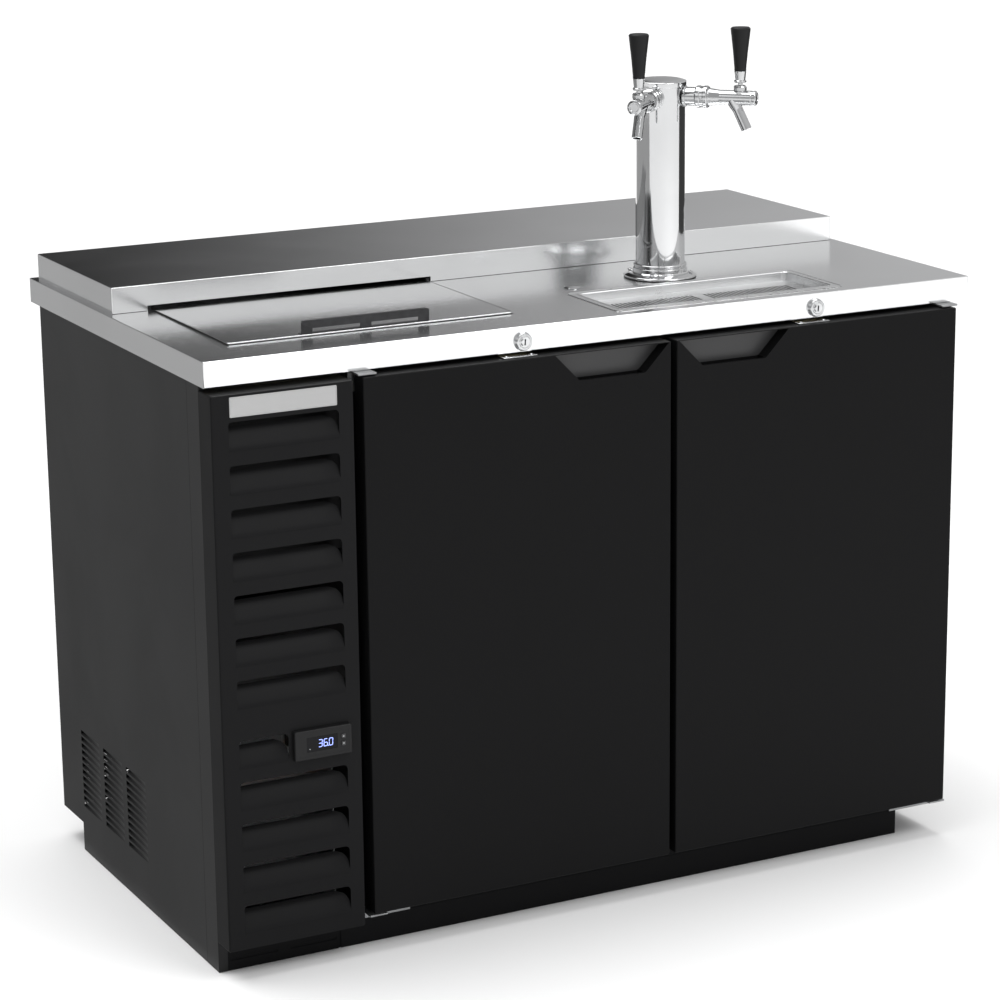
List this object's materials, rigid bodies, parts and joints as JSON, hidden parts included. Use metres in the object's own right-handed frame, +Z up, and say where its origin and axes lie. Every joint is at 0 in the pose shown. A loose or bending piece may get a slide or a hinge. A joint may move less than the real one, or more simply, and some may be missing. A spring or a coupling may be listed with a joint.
{
  "type": "kegerator",
  "caption": "Two-door draft beer cooler with side machine bay, stainless counter, sliding lid, drip tray, tap tower, hinged doors and cooling system.",
  "frame": {"origin": "on the floor under the middle of the whole box", "axes": "+Z up, doors and grille face -Y, +X to the right seen from the front; the machine bay is at -X"},
  "size_m": [1.27, 0.7518, 1.292],
  "materials": {
    "stainless_top": "brushed stainless, satin",
    "stainless_liner": "satin",
    "black_door": "black, fine leather-grain texture, satin",
    "black_panel": "dark grey-black powder coat, satin",
    "black_frame": "black, satin",
    "tower_chrome": "polished",
    "bright_hardware": "bright plated",
    "tap_black": "matt black",
    "controller_black": "satin black",
    "display": "smoked window with lit digits",
    "plate_light": "brushed, blank",
    "gasket_black": "soft matt",
    "foam": "rigid foam",
    "liner_white": "smooth, white",
    "well_black": "matt",
    "hose": "translucent vinyl",
    "compressor_black": "gloss black enamel",
    "copper": "copper, dull",
    "zinc_sheet": "zinc-plated sheet",
    "grip_grey": "dark grey, satin",
    "fan_grey": "plain"
  },
  "bodies": {
    "cabinet": {"side_panel": "black_panel", "corner_post": "black_panel", "base_frame": "black_frame", "kick_plates": "black_frame", "cabinet_skin": "black_panel", "cabinet_foam": "foam", "cabinet_liner": "stainless_liner", "front_frame": "black_frame", "rear_panel": "black_panel", "counter_top": "stainless_top", "counter_core": "foam", "rear_ledge": "stainless_top", "lid_well": "well_black", "drip_tray": "stainless_top", "drain_tube": "hose", "tower_gasket": "gasket_black", "tower_flange": "tower_chrome", "tower_screws": "bright_hardware", "tower_column": "tower_chrome", "tower_cap": "tower_chrome", "shanks": "tower_chrome", "faucet_nuts": "tower_chrome", "faucet_body_left": "tower_chrome", "faucet_body_right": "tower_chrome", "beer_lines": "hose", "hinge_brackets": "bright_hardware", "lock_barrels": "bright_hardware", "grille_panel": "black_frame", "name_plate": "plate_light", "controller_bezel": "controller_black", "controller_display": "display", "compressor": "compressor_black", "coils": "copper", "fan_shroud": "zinc_sheet", "fan_motors": "compressor_black", "refrigerant_lines": "copper", "evaporator_cover": "zinc_sheet", "junction_box": "black_frame"},
    "lid": {"lid_panel": "stainless_top", "lid_handle": "grip_grey"},
    "grid": {"drip_grid": "stainless_top"},
    "cap": {"deck_cap": "bright_hardware"},
    "tap_left": {"lever_left": "tower_chrome", "tap_handle_left": "tap_black"},
    "tap_right": {"lever_right": "tower_chrome", "tap_handle_right": "tap_black"},
    "door_left": {"door_skin_left": "black_door", "door_liner_left": "liner_white", "door_gasket_left": "gasket_black", "strike_left": "bright_hardware"},
    "door_right": {"door_skin_right": "black_door", "door_liner_right": "liner_white", "door_gasket_right": "gasket_black", "strike_right": "bright_hardware"},
    "lock_left": {"lock_plug_left": "bright_hardware"},
    "lock_right": {"lock_plug_right": "bright_hardware"},
    "fan_front": {"condenser_fan": "fan_grey"},
    "fan_cold": {"evaporator_fan": "fan_grey"},
    "button_up": {"button_up": "controller_black"},
    "button_down": {"button_down": "controller_black"}
  },
  "joints": [
    {"name": "left_door_hinge", "type": "hinge", "parent": "cabinet", "child": "door_left", "pos_m": [-0.396, -0.3511, 0.061], "axis": [0, 0, -1], "range_deg": [0, 105]},
    {"name": "right_door_hinge", "type": "hinge", "parent": "cabinet", "child": "door_right", "pos_m": [0.588, -0.3511, 0.061], "axis": [0, 0, 1], "range_deg": [0, 105]},
    {"name": "lid_slide", "type": "slide", "parent": "cabinet", "child": "lid", "axis": [0, 1, 0], "range_m": [0, 0.275]},
    {"name": "left_tap_lever", "type": "hinge", "parent": "cabinet", "child": "tap_left", "pos_m": [0.13561, -0.19149, 1.199], "axis": [0.7071, -0.7071, 0], "range_deg": [0, 25]},
    {"name": "right_tap_lever", "type": "hinge", "parent": "cabinet", "child": "tap_right", "pos_m": [0.31239, -0.19149, 1.199], "axis": [0.7071, 0.7071, 0], "range_deg": [0, 25]},
    {"name": "left_lock_turn", "type": "hinge", "parent": "cabinet", "child": "lock_left", "pos_m": [-0.143, -0.3441, 0.883], "axis": [0, -1, 0], "range_deg": [0, 90]},
    {"name": "right_lock_turn", "type": "hinge", "parent": "cabinet", "child": "lock_right", "pos_m": [0.355, -0.3441, 0.883], "axis": [0, -1, 0], "range_deg": [0, 90]},
    {"name": "drip_grid_lift", "type": "slide", "parent": "cabinet", "child": "grid", "axis": [0, 0, 1], "range_m": [0, 0.06]},
    {"name": "deck_cap_lift", "type": "slide", "parent": "cabinet", "child": "cap", "axis": [0, 0, 1], "range_m": [0, 0.03]},
    {"name": "condenser_fan_spin", "type": "hinge", "parent": "cabinet", "child": "fan_front", "pos_m": [-0.5235, -0.1971, 0.195], "axis": [0, -1, 0], "continuous": true},
    {"name": "evaporator_fan_spin", "type": "hinge", "parent": "cabinet", "child": "fan_cold", "pos_m": [0.22, 0.2069, 0.7365], "axis": [0, -1, 0], "continuous": true},
    {"name": "up_button_press", "type": "slide", "parent": "cabinet", "child": "button_up", "axis": [0, 1, 0], "range_m": [0, 0.0007], "stiffness_N_per_m": 300},
    {"name": "down_button_press", "type": "slide", "parent": "cabinet", "child": "button_down", "axis": [0, 1, 0], "range_m": [0, 0.0007], "stiffness_N_per_m": 300}
  ]
}
